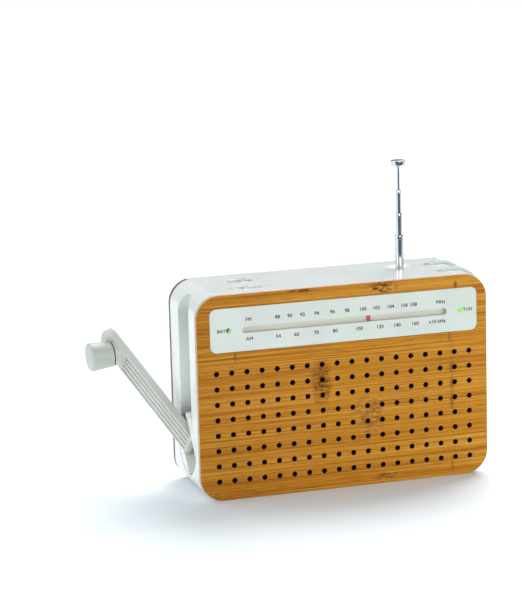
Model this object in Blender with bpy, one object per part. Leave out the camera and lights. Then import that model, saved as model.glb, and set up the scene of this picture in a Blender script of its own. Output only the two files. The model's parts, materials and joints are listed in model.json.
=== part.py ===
"""Hand-crank emergency radio: a white belt casing between two bamboo panels.

Sizes are in millimetres and become metres where a mesh is made. X runs along the radio,
Y from front to back and Z up. The origin is under the middle of the casing, on its base.
"""

import math

import bmesh
import bpy
from mathutils import Euler, Vector

MM = 0.001
GAP = 0.3  # clearance between pieces that touch

# Casing
WIDTH = 194.8
HEIGHT = 132.6
DEPTH = 65.0
CORNER = 15.5
PANEL = 4.0  # thickness of each bamboo panel
WALL = 2.6
CLEAR = 40.0  # half length of a cutter that runs right through the depth
SIDE = WIDTH / 2
BELT = DEPTH / 2 - PANEL - GAP  # half depth of the belt between the panels

# Grille: holes on a square grid
PITCH = 10.0
HOLE_R = 1.7
HOLE_COLUMNS = 18
HOLE_ROWS = 8
HOLE_LOW_Z = 12.4

# Dial
PLATE_X = (-88.3, 90.6)
PLATE_Z = (95.9, 123.8)
PLATE_CORNER = 4.3
PLATE_Y = (-32.2, -29.8)
SLOT_X = (-67.2, 70.1)
SLOT_Z = 109.3
SLOT_H = 4.0
LED_X = (-76.2, 79.4)
LED_Z = 109.6
NEEDLE_X = 17.9
RAIL_Y = -21.5
RAIL_Z = 101.0
BAFFLE_Y = (-27.4, -25.0)

# Crank: the arm is built upright and shut, then spun and swung out
AXIS_Y = -2.7
AXIS_Z = 31.9
SPIN = math.radians(-42)
SWING = math.radians(-25)
HINGE_X = -95.0
HUB_R = 20.0
HUB_FACE_R = 18.8  # the hub's rim is bevelled between this and its full radius
POCKET_R = 20.4
POCKET_FLOOR = -88.2
CHANNEL_W = 24.5
CHANNEL_TOP = 116.5  # centre of the channel's round top end
CHANNEL_FLOOR = -90.2
ARM_W = 20.0
ARM_T = 4.9
ARM_L = 94.7
ARM_TIP_R = 7.0
GROOVE_Y = (-7.2, -2.4, 2.4, 7.2)
GROOVE_Z = (1.8, 70.0)
GROOVE_W = 2.4
GROOVE_DEPTH = 1.3
KNOB_AT = 78.2
KNOB_TILT = math.radians(20)
BOSS_END = 5.0
KNOB_END = 21.0
SHAFT_R = 4.0

# Gear train: module 0.8, all axes along X
MODULE = 0.8
ADDENDUM = 0.75
DEDENDUM = 1.15
DRIVE_TEETH = 48
IDLER_PINION_TEETH = 12
IDLER_WHEEL_TEETH = 40
ROTOR_TEETH = 10
IDLER_Z = AXIS_Z + MODULE * (DRIVE_TEETH + IDLER_PINION_TEETH) / 2
ROTOR_Z = IDLER_Z + MODULE * (IDLER_WHEEL_TEETH + ROTOR_TEETH) / 2

# Telescopic antenna: outer radius, bore radius, length, height of the top end at rest
ANTENNA_X = 53.5
ANTENNA_Y = 8.9
DISH_R = 9.3
DISH_DEPTH = 1.6
SECTIONS = (
    ("antenna_section_1", 2.8, 2.4, 82.0, 153.6),
    ("antenna_section_2", 2.1, 1.8, 80.0, 168.2),
    ("antenna_section_3", 1.6, 1.15, 78.0, 183.4),
)
ROD_R = 0.85
ROD_L = 76.0
ROD_TOP = 200.5

# Thumbwheels at the top right corner
WHEEL_X = 82.6
WHEEL_Z = HEIGHT - CORNER
WHEEL_R = 17.3
WHEEL_T = 7.0
WHEEL_SLOT_R = 19.5
WHEEL_TEETH = 44
KNURL_DEPTH = 0.45
STUB_R = 3.0
TUNING_Y = -13.5
VOLUME_Y = 10.2

# Slide switches on top
SWITCH_X = -56.0
SWITCHES = (
    ("power", 9.0, -53.4),
    ("band", -14.0, -57.9),
)
RECESS_L = 16.8
RECESS_W = 7.6
RECESS_DEPTH = 2.0

SPEAKER_X = -5.0
SPEAKER_Z = 47.0
CELL_X = (49.2, 64.6, 80.0)
CELL_R = 7.0  # AA cells, 51 mm long
SCREW_X = 89.5
SCREW_Z = (8.4, 124.2)
COUNTERBORE = 1.8

COLORS = {
    "bamboo": ((0.50, 0.22, 0.05), 0.45, 0.0),
    "white_plastic": ((0.80, 0.85, 0.81), 0.25, 0.0),
    "black_plastic": ((0.02, 0.02, 0.02), 0.5, 0.0),
    "black_cloth": ((0.01, 0.01, 0.01), 0.95, 0.0),
    "scale_card": ((0.58, 0.58, 0.47), 0.7, 0.0),
    "red_plastic": ((0.75, 0.08, 0.10), 0.35, 0.0),
    "green_lens": ((0.10, 0.60, 0.12), 0.2, 0.0),
    "chrome": ((0.80, 0.80, 0.82), 0.08, 1.0),
    "steel": ((0.55, 0.55, 0.56), 0.35, 1.0),
    "brass": ((0.70, 0.50, 0.20), 0.3, 1.0),
    "nylon": ((0.78, 0.76, 0.66), 0.45, 0.0),
    "board": ((0.05, 0.22, 0.08), 0.5, 0.0),
    "ferrite": ((0.06, 0.06, 0.065), 0.6, 0.0),
    "paper": ((0.10, 0.10, 0.10), 0.9, 0.0),
    "cell_sleeve": ((0.05, 0.30, 0.14), 0.35, 0.0),
}


def clear_scene():
    for obj in list(bpy.data.objects):
        bpy.data.objects.remove(obj, do_unlink=True)


def material(name):
    if name in bpy.data.materials:
        return bpy.data.materials[name]
    color, roughness, metallic = COLORS[name]
    made = bpy.data.materials.new(name)
    made.use_nodes = True
    shader = made.node_tree.nodes["Principled BSDF"]
    shader.inputs["Base Color"].default_value = (*color, 1.0)
    shader.inputs["Roughness"].default_value = roughness
    shader.inputs["Metallic"].default_value = metallic
    made.diffuse_color = (*color, 1.0)
    return made


def empty(name, location, rotation=(0, 0, 0), parent=None):
    made = bpy.data.objects.new(name, None)
    bpy.context.scene.collection.objects.link(made)
    made.parent = parent
    made.location = Vector(location) * MM
    made.rotation_euler = rotation
    return made


def add(name, mesh, finish=None, at=(0, 0, 0), parent=None):
    """Links a bmesh in millimetres as an object. With no finish it is a hidden cutter."""
    bmesh.ops.recalc_face_normals(mesh, faces=mesh.faces)
    bmesh.ops.scale(mesh, vec=(MM, MM, MM), verts=mesh.verts)
    data = bpy.data.meshes.new(name)
    mesh.to_mesh(data)
    mesh.free()
    made = bpy.data.objects.new(name, data)
    bpy.context.scene.collection.objects.link(made)
    made.parent = parent
    made.location = Vector(at) * MM
    if finish:
        data.materials.append(material(finish))
        data.shade_smooth()
        data.set_sharp_from_angle(angle=math.radians(35))
    else:
        made.hide_render = True
        made.display_type = "WIRE"
    return made


def combine(target, tool, operation="DIFFERENCE"):
    change = target.modifiers.new(tool.name, "BOOLEAN")
    change.operation = operation
    change.solver = "EXACT"
    change.object = tool
    tool.hide_render = True
    tool.display_type = "WIRE"


def cut(target, name, mesh, at=(0, 0, 0), parent=None):
    combine(target, add(name, mesh, at=at, parent=parent))


def place(axis, a, b, along):
    """A point from its two coordinates across an axis and the one along it."""
    return {"X": (along, a, b), "Y": (a, along, b), "Z": (a, b, along)}[axis]


def prism(axis, outline, low, high, mesh=None):
    mesh = mesh or bmesh.new()
    rings = []
    for along in (low, high):
        rings.append([mesh.verts.new(place(axis, a, b, along)) for a, b in outline])
    mesh.faces.new(rings[0])
    mesh.faces.new(reversed(rings[1]))
    count = len(outline)
    for i in range(count):
        j = (i + 1) % count
        mesh.faces.new((rings[0][i], rings[1][i], rings[1][j], rings[0][j]))
    return mesh


def arc(center, radius, start, end, steps):
    """Points of an arc, angles in degrees, both ends included."""
    points = []
    for i in range(steps + 1):
        angle = math.radians(start + (end - start) * i / steps)
        points.append((center[0] + radius * math.cos(angle), center[1] + radius * math.sin(angle)))
    return points


def rounded_rectangle(a0, a1, b0, b1, radius, steps=8):
    points = []
    corners = (
        (a1 - radius, b1 - radius, 0),
        (a0 + radius, b1 - radius, 90),
        (a0 + radius, b0 + radius, 180),
        (a1 - radius, b0 + radius, 270),
    )
    for a, b, start in corners:
        points += arc((a, b), radius, start, start + 90, steps)
    return points


def circle(center, radius, sides, phase=0.0):
    return arc(center, radius, phase, phase + 360 * (sides - 1) / sides, sides - 1)


def toothed_outline(teeth, root_r, tip_r, root_share, tip_share, phase=0.0):
    """Trapezoid teeth round a circle. A share is half a tooth's width as a part of its step."""
    step = 360 / teeth
    corners = ((root_r, -root_share), (tip_r, -tip_share), (tip_r, tip_share), (root_r, root_share))
    outline = []
    for tooth in range(teeth):
        for radius, share in corners:
            angle = math.radians(phase + (tooth + share) * step)
            outline.append((radius * math.cos(angle), radius * math.sin(angle)))
    return outline


def box(low, high):
    outline = ((low[0], low[1]), (high[0], low[1]), (high[0], high[1]), (low[0], high[1]))
    return prism("Z", outline, low[2], high[2])


def cylinder(axis, center, radius, low, high, sides=24):
    return prism(axis, circle(center, radius, sides), low, high)


def turned(axis, center, profile, sides=32, closed=False):
    """Turns (along, radius) points about an axis. An open profile starts and ends on the axis."""
    mesh = bmesh.new()
    rings = []
    for along, radius in profile:
        if radius == 0:
            rings.append([mesh.verts.new(place(axis, *center, along))])
            continue
        points = circle(center, radius, sides)
        rings.append([mesh.verts.new(place(axis, a, b, along)) for a, b in points])
    pairs = list(zip(rings, rings[1:]))
    if closed:
        pairs.append((rings[-1], rings[0]))
    for first, second in pairs:
        for i in range(sides):
            j = (i + 1) % sides
            corners = (
                first[i % len(first)],
                first[j % len(first)],
                second[j % len(second)],
                second[i % len(second)],
            )
            mesh.faces.new(dict.fromkeys(corners))
    return mesh


def outer_outline(inset=0.0):
    return rounded_rectangle(
        -SIDE + inset, SIDE - inset, inset, HEIGHT - inset, CORNER - inset, 10
    )


def make_casing():
    """The belt, with the crank's channel, hub pocket and knob pocket in its left side."""
    casing = add("casing", prism("Y", outer_outline(), -BELT, BELT), "white_plastic")
    cavity = add("casing_cavity", prism("Y", outer_outline(WALL), -CLEAR, CLEAR))
    cut(cavity, "hub_block", box((-99, -24.5, 0), (POCKET_FLOOR + WALL, 19.6, 57)))
    cut(cavity, "channel_block", box((-99, -17.7, 50), (CHANNEL_FLOOR + WALL, 12.3, 134)))
    cut(cavity, "knob_block", box((-99, -15.9, 91), (-66.5, 10.5, 134)))
    cut(cavity, "switch_block", box((-70, -21, 126.6), (-42, 16, 134)))
    cut(cavity, "antenna_block", box((42, -2.6, 127), (65, 20.4, 134)))
    for x in (-SCREW_X, SCREW_X):
        for z in SCREW_Z:
            cut(cavity, f"boss_{x:.0f}_{z:.0f}", cylinder("Y", (x, z), 4.0, 21.6, 30, 16))
    combine(casing, cavity)

    half = CHANNEL_W / 2
    channel = arc((AXIS_Y, CHANNEL_TOP), half, 0, 180, 14)
    channel += [(AXIS_Y - half, AXIS_Z), (AXIS_Y + half, AXIS_Z)]
    cut(casing, "channel_cutter", prism("X", channel, -105, CHANNEL_FLOOR))
    pocket = cylinder("X", (AXIS_Y, AXIS_Z), POCKET_R, -105, POCKET_FLOOR, 40)
    cut(casing, "hub_pocket_cutter", pocket)
    cut(casing, "hub_bore", cylinder("X", (AXIS_Y, AXIS_Z), 6.3, -92, -80, 24))

    tilt = empty("knob_pocket_axis", (HINGE_X, AXIS_Y, AXIS_Z + KNOB_AT), (0, -KNOB_TILT, 0))
    knob_pocket = cylinder("X", (0, 0), 10.2, -1.0, 22.8, 24)
    cut(casing, "knob_pocket_cutter", knob_pocket, parent=tilt)

    for name, y, _ in SWITCHES:
        low_x = SWITCH_X - RECESS_L / 2
        high_x = SWITCH_X + RECESS_L / 2
        outline = rounded_rectangle(low_x, high_x, y - RECESS_W / 2, y + RECESS_W / 2, 2.0, 4)
        cut(casing, f"{name}_recess", prism("Z", outline, HEIGHT - RECESS_DEPTH, 140))
        track = box((low_x + 1.0, y - 1.5, 120), (high_x - 1.0, y + 1.5, 136))
        cut(casing, f"{name}_track", track)

    dish_radius = (DISH_R**2 + DISH_DEPTH**2) / (2 * DISH_DEPTH)
    dish = [(HEIGHT - DISH_DEPTH, 0)]
    for step in range(1, 5):
        radius = DISH_R * step / 4
        rise = dish_radius - math.sqrt(dish_radius**2 - radius**2)
        dish.append((HEIGHT - DISH_DEPTH + rise, radius))
    dish += [(140, DISH_R), (140, 0)]
    center = (ANTENNA_X, ANTENNA_Y)
    cut(casing, "antenna_dish", turned("Z", center, dish, 32))
    cut(casing, "antenna_bore", cylinder("Z", center, 4.2, 120, 136, 24))

    for name, y in (("tuning", TUNING_Y), ("volume", VOLUME_Y)):
        slot = cylinder("Y", (WHEEL_X, WHEEL_Z), WHEEL_SLOT_R, y - 4.0, y + 4.0, 48)
        cut(casing, f"{name}_wheel_slot", slot)
    for x in (-SCREW_X, SCREW_X):
        for z in SCREW_Z:
            cut(casing, f"pilot_{x:.0f}_{z:.0f}", cylinder("Y", (x, z), 1.5, 22.4, CLEAR, 12))


def make_front_panel():
    front = -DEPTH / 2
    panel = add("front_panel", prism("Y", outer_outline(), front, front + PANEL), "bamboo")
    window = rounded_rectangle(
        PLATE_X[0] - GAP, PLATE_X[1] + GAP, PLATE_Z[0] - GAP, PLATE_Z[1] + GAP, PLATE_CORNER, 6
    )
    cut(panel, "dial_window", prism("Y", window, -CLEAR, -20))
    holes = bmesh.new()
    for column in range(HOLE_COLUMNS):
        for row in range(HOLE_ROWS):
            x = (column - (HOLE_COLUMNS - 1) / 2) * PITCH
            outline = circle((x, HOLE_LOW_Z + row * PITCH), HOLE_R, 6)
            prism("Y", outline, -CLEAR, -20, holes)
    cut(panel, "grille_holes", holes)


def make_rear_panel():
    back = DEPTH / 2
    panel = add("rear_panel", prism("Y", outer_outline(), back - PANEL, back), "bamboo")
    for side, x in (("left", -SCREW_X), ("right", SCREW_X)):
        for level, z in (("low", SCREW_Z[0]), ("high", SCREW_Z[1])):
            label = f"{side}_{level}"
            seat = back - COUNTERBORE
            cut(panel, f"screw_hole_{label}", cylinder("Y", (x, z), 1.7, 20, CLEAR, 12))
            cut(panel, f"counterbore_{label}", cylinder("Y", (x, z), 3.4, seat, CLEAR, 16))
            profile = (
                (22.8, 0),
                (23.8, 1.2),
                (seat + GAP, 1.2),
                (seat + GAP, 2.9),
                (back - 0.6, 2.9),
                (back - 0.2, 2.4),
                (back - 0.2, 0),
            )
            add(f"rear_screw_{label}", turned("Y", (x, z), profile, 12), "steel")


def make_baffle():
    """The inner front plate: it carries the speaker, the needle's rail and the circuit board."""
    y0, y1 = BAFFLE_Y
    plate = prism("Y", outer_outline(WALL + GAP), y0, y1)
    baffle = add("front_baffle", plate, "black_plastic")
    opening = cylinder("Y", (SPEAKER_X, SPEAKER_Z), 29.0, y0 - 5, y1 + 2, 32)
    cut(baffle, "speaker_opening", opening)
    for x in (-69.0, 64.0):
        post = add(
            f"rail_post_{x:.0f}",
            box((x - 1.5, y1 - 0.5, RAIL_Z - 3), (x + 1.5, RAIL_Y + 3, RAIL_Z + 3)),
        )
        combine(baffle, post, "UNION")
    for x, z in ((-46, 62), (-46, 92), (38, 72), (38, 92)):
        post = add(f"board_post_{x}_{z}", cylinder("Y", (x, z), 2.5, y1 - 0.5, 21.7, 12))
        combine(baffle, post, "UNION")
    cut(baffle, "rail_bore", cylinder("X", (RAIL_Y, RAIL_Z), 1.4, -80, 75, 12))
    slit = box((-52, y0 - 5, RAIL_Z - 1.2), (57, y1 + 0.2, RAIL_Z + 1.2))
    cut(baffle, "needle_slit", slit)

    cloth = box((-88, y0 - GAP - 0.5, 7), (88, y0 - GAP, 90))
    add("speaker_cloth", cloth, "black_cloth")


def make_dial():
    outline = rounded_rectangle(*PLATE_X, *PLATE_Z, PLATE_CORNER, 6)
    plate = add("dial_plate", prism("Y", outline, *PLATE_Y), "white_plastic")
    slot = rounded_rectangle(
        *SLOT_X, SLOT_Z - SLOT_H / 2, SLOT_Z + SLOT_H / 2, SLOT_H / 2 - 0.01, 6
    )
    cut(plate, "dial_slot", prism("Y", slot, -CLEAR, -20))
    for name, x in zip(("battery_led", "tuning_led"), LED_X):
        cut(plate, f"{name}_hole", cylinder("Y", (x, LED_Z), 1.8, -CLEAR, -20, 16))
        front, back = PLATE_Y
        profile = (
            (front - 0.2, 0),
            (front + 0.1, 0.9),
            (front + 0.7, 1.5),
            (back + GAP, 1.5),
            (back + GAP, 2.1),
            (back + 0.9, 2.1),
            (back + 0.9, 0),
        )
        add(name, turned("Y", (x, LED_Z), profile, 16), "green_lens")

    card_y = (-28.4, -28.0)
    card = add("dial_backplate", box((-74, card_y[0], 97), (77, card_y[1], 122)), "scale_card")
    cut(card, "card_slit", box((-52, -30, RAIL_Z - 1.2), (57, -25, RAIL_Z + 1.2)))

    rail = cylinder("X", (RAIL_Y, RAIL_Z), 1.1, -70.5, 65.5, 12)
    add("dial_rail", rail, "steel")
    blade = box((-1.2, -29.4, RAIL_Z - 0.8), (1.2, -28.8, 113.5))
    needle = add("dial_needle", blade, "red_plastic", at=(NEEDLE_X, 0, 0))
    tongue = add(
        "needle_tongue",
        box((-1.0, -29.2, RAIL_Z - 0.7), (1.0, RAIL_Y - 1, RAIL_Z + 0.7)),
        at=(NEEDLE_X, 0, 0),
    )
    carrier = add(
        "needle_carrier",
        box((-4, RAIL_Y - 2.6, RAIL_Z - 2.6), (4, RAIL_Y + 2.6, RAIL_Z + 2.6)),
        at=(NEEDLE_X, 0, 0),
    )
    combine(needle, tongue, "UNION")
    combine(needle, carrier, "UNION")
    bore = cylinder("X", (RAIL_Y, RAIL_Z), 1.4, -8, 8, 12)
    cut(needle, "needle_bore", bore, at=(NEEDLE_X, 0, 0))


def make_speaker():
    center = (SPEAKER_X, SPEAKER_Z)
    back = BAFFLE_Y[1] + GAP
    frame = (
        (back, 29.5),
        (back, 34.0),
        (back + 1.5, 34.0),
        (back + 1.5, 31.5),
        (-10.0, 17.0),
        (-8.6, 17.0),
        (-8.6, 8.0),
        (-10.4, 8.0),
        (-11.4, 16.0),
    )
    add("speaker_frame", turned("Y", center, frame, 28, closed=True), "steel")
    cone = (
        (-17.5, 0),
        (-15.6, 8.0),
        (back + 0.1, 28.6),
        (back + 0.8, 28.6),
        (-14.4, 8.0),
        (-16.4, 0),
    )
    add("speaker_cone", turned("Y", center, cone, 28), "paper")
    magnet = (
        (-12.8, 0),
        (-12.8, 6.5),
        (-8.3, 6.5),
        (-8.3, 15.5),
        (-0.8, 15.5),
        (0.0, 14.7),
        (0.0, 0),
    )
    add("speaker_magnet", turned("Y", center, magnet, 24), "ferrite")


def make_board():
    board = add("main_pcb", box((-52, 22.0, 57), (66, 23.6, 119)), "board")
    parts = ((-30, 80, 22, 22, 3), (8, 96, 14, 10, 3), (26, 84, 9, 9, 9), (50, 80, 10, 12, 7))
    for x, z, wide, tall, thick in parts:
        chip = box((x, 22.3 - thick, z), (x + wide, 22.5, z + tall))
        combine(board, add(f"component_{x}_{z}", chip), "UNION")
    rod = cylinder("X", (15.0, 112.0), 4.0, -40, 40, 16)
    add("ferrite_rod", rod, "ferrite")


def make_battery():
    y0, y1 = -24.2, -6.6
    low, high = (40.4, y0, 8.0), (88.8, y1, 63.0)
    holder = add("battery_holder", box(low, high), "black_plastic")
    inside = box((low[0] + 1.5, y0 + 1.6, low[2] + 1.5), (high[0] - 1.5, y1 + 5, high[2] - 1.5))
    cut(holder, "battery_bay", inside)
    foot = low[2] + 2.0
    profile = (
        (foot, 0),
        (foot, CELL_R),
        (foot + 49.0, CELL_R),
        (foot + 49.6, CELL_R - 0.6),
        (foot + 49.6, 2.6),
        (foot + 51.0, 2.6),
        (foot + 51.0, 0),
    )
    for number, x in enumerate(CELL_X, 1):
        cell = turned("Z", (x, y0 + 1.6 + GAP + CELL_R), profile, 20)
        add(f"battery_cell_{number}", cell, "cell_sleeve")


def make_switches():
    for name, y, knob_x in SWITCHES:
        body = add(
            f"{name}_switch_body",
            box((SWITCH_X - 10, y - 4, 117), (SWITCH_X + 10, y + 4, 126.6 - GAP)),
            "black_plastic",
        )
        well = box((SWITCH_X - 8.2, y - 1.6, 121), (SWITCH_X + 8.2, y + 1.6, 130))
        cut(body, f"{name}_switch_well", well)
        floor = HEIGHT - RECESS_DEPTH
        cap = prism(
            "Z",
            rounded_rectangle(-2.0, 2.0, -3.3, 3.3, 1.9, 4),
            floor + GAP,
            HEIGHT + 1.3,
        )
        knob = add(f"{name}_switch_knob", cap, "white_plastic", at=(knob_x, y, 0))
        edge = knob.modifiers.new("rounding", "BEVEL")
        edge.width = 0.5 * MM
        edge.segments = 2
        edge.limit_method = "ANGLE"
        stem = box((-1.1, -1.1, 122), (1.1, 1.1, floor + 1))
        combine(knob, add(f"{name}_stem", stem, at=(knob_x, y, 0)), "UNION")


def make_wheels():
    """Knurled thumbwheels, each with a stub shaft in the component that it turns."""
    outline = toothed_outline(WHEEL_TEETH, WHEEL_R - KNURL_DEPTH, WHEEL_R, 0.3, 0.12)
    for name, y, side in (("tuning", TUNING_Y, -1), ("volume", VOLUME_Y, 1)):
        disc = prism("Y", outline, -WHEEL_T / 2, WHEEL_T / 2)
        wheel = add(f"{name}_wheel", disc, "white_plastic", at=(WHEEL_X, y, WHEEL_Z))
        ends = sorted((side * (WHEEL_T / 2 - 1), side * (WHEEL_T / 2 + 4.0)))
        shaft = cylinder("Y", (0, 0), STUB_R, *ends, 16)
        combine(wheel, add(f"{name}_stub", shaft, at=(WHEEL_X, y, WHEEL_Z)), "UNION")
    front = TUNING_Y - WHEEL_T / 2 - 0.8
    size = 8.5
    capacitor = add(
        "tuning_capacitor",
        box((WHEEL_X - size, front - 6, WHEEL_Z - size), (WHEEL_X + size, front, WHEEL_Z + size)),
        "nylon",
    )
    bore_r = STUB_R + GAP
    bore = cylinder("Y", (WHEEL_X, WHEEL_Z), bore_r, front - 5, front + 1, 16)
    cut(capacitor, "capacitor_bore", bore)
    back = VOLUME_Y + WHEEL_T / 2 + 0.8
    pot = add("volume_pot", cylinder("Y", (WHEEL_X, WHEEL_Z), 8.0, back, back + 6.4, 24), "steel")
    cut(pot, "pot_bore", cylinder("Y", (WHEEL_X, WHEEL_Z), bore_r, back - 1, back + 5, 16))


def make_antenna():
    center = (ANTENNA_X, ANTENNA_Y)
    top = HEIGHT - DISH_DEPTH
    profile = ((45.0, 3.9), (top + 0.5, 3.9), (top + 0.5, 3.1), (45.0, 3.1))
    add("antenna_sleeve", turned("Z", center, profile, 24, closed=True), "nylon")
    for name, radius, bore, length, end in SECTIONS:
        crimp = radius - 0.1
        profile = (
            (end - length, radius),
            (end - 1.0, radius),
            (end, crimp),
            (end, bore),
            (end - length, bore),
        )
        tube = turned("Z", (0, 0), profile, 24, closed=True)
        add(name, tube, "chrome", at=(*center, 0))
    rod = cylinder("Z", (0, 0), ROD_R, ROD_TOP - ROD_L, ROD_TOP, 16)
    add("antenna_rod", rod, "chrome", at=(*center, 0))
    # the button on the rod, with a blind bore for the rod's end
    cap = (
        (ROD_TOP + 2.6, 0),
        (ROD_TOP + 2.6, 4.2),
        (ROD_TOP + 2.15, 4.65),
        (ROD_TOP - 0.3, 4.65),
        (ROD_TOP - 0.7, 4.3),
        (ROD_TOP - 1.9, 1.6),
        (ROD_TOP - 1.9, ROD_R + GAP),
        (ROD_TOP + GAP, ROD_R + GAP),
        (ROD_TOP + GAP, 0),
    )
    add("antenna_cap", turned("Z", (0, 0), cap, 24), "chrome", at=(*center, 0))


def gear_outline(teeth, phase):
    """Straight-flanked teeth, short enough to roll without touching at the tips."""
    pitch_r = MODULE * teeth / 2
    root_r = pitch_r - DEDENDUM * MODULE
    return toothed_outline(teeth, root_r, pitch_r + ADDENDUM * MODULE, 0.30, 0.10, phase)


def gear(teeth, low, high, bore_r, phase):
    """A closed gear prism along X with a bore."""
    mesh = bmesh.new()
    outline = gear_outline(teeth, phase)
    count = len(outline)
    hole = []
    for a, b in outline:
        angle = math.atan2(b, a)
        hole.append((bore_r * math.cos(angle), bore_r * math.sin(angle)))
    rings = []
    for along in (low, high):
        rings.append([mesh.verts.new((along, a, b)) for a, b in outline])
        rings.append([mesh.verts.new((along, a, b)) for a, b in hole])
    outer_low, inner_low, outer_high, inner_high = rings
    for i in range(count):
        j = (i + 1) % count
        mesh.faces.new((outer_low[i], outer_low[j], outer_high[j], outer_high[i]))
        mesh.faces.new((inner_low[j], inner_low[i], inner_high[i], inner_high[j]))
        mesh.faces.new((outer_low[j], outer_low[i], inner_low[i], inner_low[j]))
        mesh.faces.new((outer_high[i], outer_high[j], inner_high[j], inner_high[i]))
    return mesh


def make_crank():
    spin = empty("crank_spin_axis", (0, AXIS_Y, AXIS_Z), (SPIN, 0, 0))
    profile = (
        (-SIDE, 0),
        (-SIDE, HUB_FACE_R),
        (-SIDE + 0.8, HUB_R),
        (POCKET_FLOOR - GAP, HUB_R),
        (POCKET_FLOOR - GAP, SHAFT_R),
        (-77.4, SHAFT_R),
        (-77.4, 0),
    )
    hub = add("crank_hub", turned("X", (0, 0), profile, 40), "white_plastic", parent=spin)
    half = ARM_W / 2 + 0.8
    cut(hub, "hub_slot", box((-105, -half, -25), (-91.2, half, 25)), parent=spin)
    cut(hub, "hub_pin_bore", cylinder("Y", (HINGE_X, 0), 1.6, -25, 25, 16), parent=spin)

    bush = ((-88.0, 6.0), (-85.3, 6.0), (-85.3, 8.0), (-84.4, 8.0), (-84.4, 4.3), (-88.0, 4.3))
    ring = turned("X", (AXIS_Y, AXIS_Z), bush, 24, closed=True)
    add("hub_bush", ring, "brass")
    clip = ((-79.4, 4.3), (-79.4, 6.0), (-78.6, 6.0), (-78.6, 4.3))
    add("shaft_circlip", turned("X", (0, 0), clip, 24, closed=True), "steel", parent=spin)
    # a tooth of the drive gear points straight up, so its phase undoes the hub's rest angle
    up = 90 - math.degrees(SPIN)
    drive = gear(DRIVE_TEETH, -83.8, -79.8, SHAFT_R + GAP, up)
    add("drive_gear", drive, "nylon", parent=spin)

    pin = cylinder("Y", (0, 0), 1.3, -14.0, 14.0, 16)
    add("hinge_pin", pin, "steel", at=(HINGE_X, 0, 0), parent=spin)

    swing = empty("crank_fold_axis", (HINGE_X, 0, 0), (0, SWING, 0), parent=spin)
    arm = add("crank_arm", arm_blank(), "white_plastic", parent=swing)
    floor = GROOVE_DEPTH - ARM_T / 2
    half = GROOVE_W / 2
    for y in GROOVE_Y:
        groove = box((-6, y - half, GROOVE_Z[0]), (floor, y + half, GROOVE_Z[1]))
        cut(arm, f"groove_{y}", groove, parent=swing)
    knob_axis = empty("knob_spin_axis", (0, 0, KNOB_AT), (0, KNOB_TILT, 0), parent=swing)
    # the knob is tilted, so its rim needs a shallow scoop in the arm towards the tip
    scoop = cylinder("X", (0, 0), 9.7, -26, -BOSS_END - 0.4, 32)
    cut(arm, "knob_relief", scoop, parent=knob_axis)
    boss = add("arm_boss", boss_blank(), parent=swing)
    combine(arm, boss, "UNION")
    cut(arm, "boss_bore", cylinder("X", (0, 0), 2.3, -10, -1.2, 16), parent=knob_axis)
    cut(arm, "arm_pin_bore", cylinder("Y", (0, 0), 1.6, -15, 15, 16), parent=swing)

    knob = (
        (-KNOB_END, 0),
        (-KNOB_END, 7.9),
        (-KNOB_END + 0.5, 8.8),
        (-KNOB_END + 1.6, 9.2),
        (-BOSS_END - 1.8, 8.2),
        (-BOSS_END - 1.0, 7.4),
        (-BOSS_END - 0.8, 7.2),
        (-BOSS_END - 0.8, 2.3),
        (-KNOB_END + 3.5, 2.3),
        (-KNOB_END + 3.5, 0),
    )
    add("crank_knob", turned("X", (0, 0), knob, 32), "white_plastic", parent=knob_axis)
    pin = cylinder("X", (0, 0), 2.0, -KNOB_END + 4.0, -1.6, 16)
    add("knob_pin", pin, "steel", parent=knob_axis)


def arm_blank():
    """A flat bar with a round hinge barrel at the bottom and a rounded tip."""
    half_t = ARM_T / 2
    half_w = ARM_W / 2
    sections = []
    for angle in range(0, 91, 15):
        turn = math.radians(angle)
        sections.append((-half_t * math.cos(turn), max(half_t * math.sin(turn), 0.35), half_w))
    tip = ARM_L - ARM_TIP_R
    for angle in range(0, 91, 15):
        turn = math.radians(angle)
        narrow = half_w - ARM_TIP_R * (1 - math.cos(turn))
        sections.append((tip + ARM_TIP_R * math.sin(turn), half_t, narrow))
    mesh = bmesh.new()
    rings = []
    for z, hx, hy in sections:
        corners = ((-hx, -hy), (hx, -hy), (hx, hy), (-hx, hy))
        rings.append([mesh.verts.new((x, y, z)) for x, y in corners])
    mesh.faces.new(rings[0])
    mesh.faces.new(reversed(rings[-1]))
    for first, second in zip(rings, rings[1:]):
        for i in range(4):
            j = (i + 1) % 4
            mesh.faces.new((first[i], second[i], second[j], first[j]))
    return mesh


def boss_blank(radius=8.1, sides=24):
    """The knob's boss: a tilted cylinder that starts inside the arm, on a plane parallel to it."""
    turn = Euler((0, KNOB_TILT, 0)).to_matrix()
    along = turn @ Vector((-1, 0, 0))
    mesh = bmesh.new()
    rings = [[], []]
    for y, z in circle((0, 0), radius, sides):
        end = turn @ Vector((-BOSS_END, y, z)) + Vector((0, 0, KNOB_AT))
        start = end - along * ((end.x + 1.5) / along.x)
        rings[0].append(mesh.verts.new(start))
        rings[1].append(mesh.verts.new(end))
    mesh.faces.new(rings[0])
    mesh.faces.new(reversed(rings[1]))
    for i in range(sides):
        j = (i + 1) % sides
        mesh.faces.new((rings[0][i], rings[1][i], rings[1][j], rings[0][j]))
    return mesh


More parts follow.
